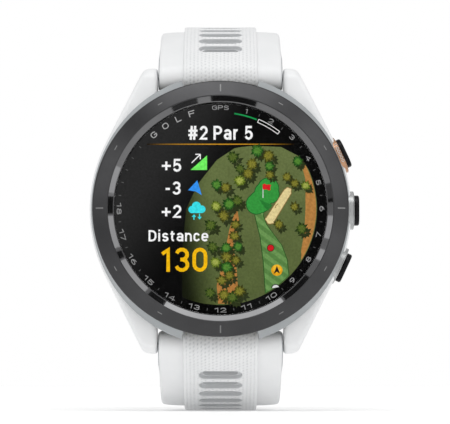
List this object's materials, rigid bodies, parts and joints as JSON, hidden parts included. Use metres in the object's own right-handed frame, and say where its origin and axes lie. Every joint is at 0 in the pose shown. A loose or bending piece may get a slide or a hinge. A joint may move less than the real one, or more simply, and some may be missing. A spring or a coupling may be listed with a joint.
{
  "type": "golf gps watch",
  "caption": "Round-faced golf GPS watch with side buttons, glass touch display and a two-piece silicone strap with buckle, standing on its open strap.",
  "frame": {"origin": "centre of the flat outer face of the rear sensor window", "axes": "+Z towards twelve o'clock, -Y out of the dial towards the viewer, +Y towards the wrist, +X towards the buttons"},
  "size_m": [0.0435, 0.0706, 0.0648],
  "materials": {
    "white_polymer": "smooth satin moulded fibre-reinforced polymer",
    "grey_ceramic": "satin ceramic with a polished inner chamfer",
    "black_rubber": "moulded",
    "clear_glass": "polished",
    "dark_glass": "polished",
    "black_display": "display panel, lit golf view",
    "brushed_steel": "brushed",
    "green_board": "solder mask",
    "foil_wrap": "foil",
    "dark_polymer": "satin moulded",
    "gold_contact": "plated",
    "black_metal": "black coated, semi-gloss",
    "copper_metal": "copper-coloured, fine knurl",
    "pale_metal": "pale grey satin",
    "white_silicone": "moulded white silicone with a fine dimple texture"
  },
  "bodies": {
    "case": {"antenna_ring": "gold_contact", "back_cover": "dark_polymer", "back_gasket": "black_rubber", "back_screw_1": "brushed_steel", "back_screw_2": "brushed_steel", "back_screw_3": "brushed_steel", "back_screw_4": "brushed_steel", "battery_cell": "foil_wrap", "beeper_disc": "gold_contact", "bezel": "grey_ceramic", "bezel_gasket": "black_rubber", "button_guard_bottom": "pale_metal", "button_guard_middle": "pale_metal", "button_guard_top": "copper_metal", "button_switch_bottom": "dark_polymer", "button_switch_middle": "dark_polymer", "button_switch_top": "dark_polymer", "charge_carrier": "dark_polymer", "charge_pin_1": "gold_contact", "charge_pin_2": "gold_contact", "charge_pin_3": "gold_contact", "charge_pin_4": "gold_contact", "display_frame": "dark_polymer", "display_lens": "clear_glass", "display_panel": "black_display", "main_board": "green_board", "mid_case": "white_polymer", "sensor_board": "green_board", "sensor_window": "dark_glass", "shield_can": "brushed_steel", "vibration_motor": "brushed_steel"},
    "top_button": {"button_cap_top": "black_metal", "button_clip_top": "brushed_steel", "button_seal_top": "black_rubber"},
    "middle_button": {"button_cap_middle": "black_metal", "button_clip_middle": "brushed_steel", "button_seal_middle": "black_rubber"},
    "bottom_button": {"button_cap_bottom": "black_metal", "button_clip_bottom": "brushed_steel", "button_seal_bottom": "black_rubber"},
    "upper_strap": {"strap_upper": "white_silicone", "spring_bar_upper": "brushed_steel", "keeper_fixed": "white_silicone"},
    "lower_strap": {"strap_lower": "white_silicone", "spring_bar_lower": "brushed_steel"},
    "upper_release": {"release_pin_upper": "brushed_steel"},
    "lower_release": {"release_pin_lower": "brushed_steel"},
    "buckle": {"buckle_frame": "brushed_steel", "buckle_pin": "brushed_steel"},
    "tongue": {"buckle_tongue": "brushed_steel"},
    "free_keeper": {"keeper_free": "white_silicone"}
  },
  "joints": [
    {"name": "top_button_press", "type": "slide", "parent": "case", "child": "top_button", "axis": [-0.9063, 0, -0.4226], "range_m": [0, 0.0004], "stiffness_N_per_m": 1500},
    {"name": "middle_button_press", "type": "slide", "parent": "case", "child": "middle_button", "axis": [-1, 0, 0], "range_m": [0, 0.0004], "stiffness_N_per_m": 1500},
    {"name": "bottom_button_press", "type": "slide", "parent": "case", "child": "bottom_button", "axis": [-0.9063, 0, 0.4226], "range_m": [0, 0.0004], "stiffness_N_per_m": 1500},
    {"name": "upper_strap_hinge", "type": "hinge", "parent": "case", "child": "upper_strap", "pos_m": [0, -0.0056, 0.0217], "axis": [1, 0, 0], "range_deg": [0, 45]},
    {"name": "lower_strap_hinge", "type": "hinge", "parent": "case", "child": "lower_strap", "pos_m": [0, -0.0056, -0.0217], "axis": [-1, 0, 0], "range_deg": [0, 45]},
    {"name": "upper_release_slide", "type": "slide", "parent": "upper_strap", "child": "upper_release", "axis": [-1, 0, 0], "range_m": [0, 0.0011], "stiffness_N_per_m": 500},
    {"name": "lower_release_slide", "type": "slide", "parent": "lower_strap", "child": "lower_release", "axis": [1, 0, 0], "range_m": [0, 0.0011], "stiffness_N_per_m": 500},
    {"name": "buckle_hinge", "type": "hinge", "parent": "upper_strap", "child": "buckle", "pos_m": [0, 0.04834, 0.01459], "axis": [1, 0, 0], "range_deg": [-25, 35]},
    {"name": "tongue_hinge", "type": "hinge", "parent": "buckle", "child": "tongue", "pos_m": [0, 0.04834, 0.01459], "axis": [1, 0, 0], "range_deg": [0, 30]},
    {"name": "free_keeper_slide", "type": "hinge", "parent": "upper_strap", "child": "free_keeper", "pos_m": [0, 0.01386, -0.0176], "axis": [-1, 0, 0], "range_deg": [-6, 0.5]}
  ]
}
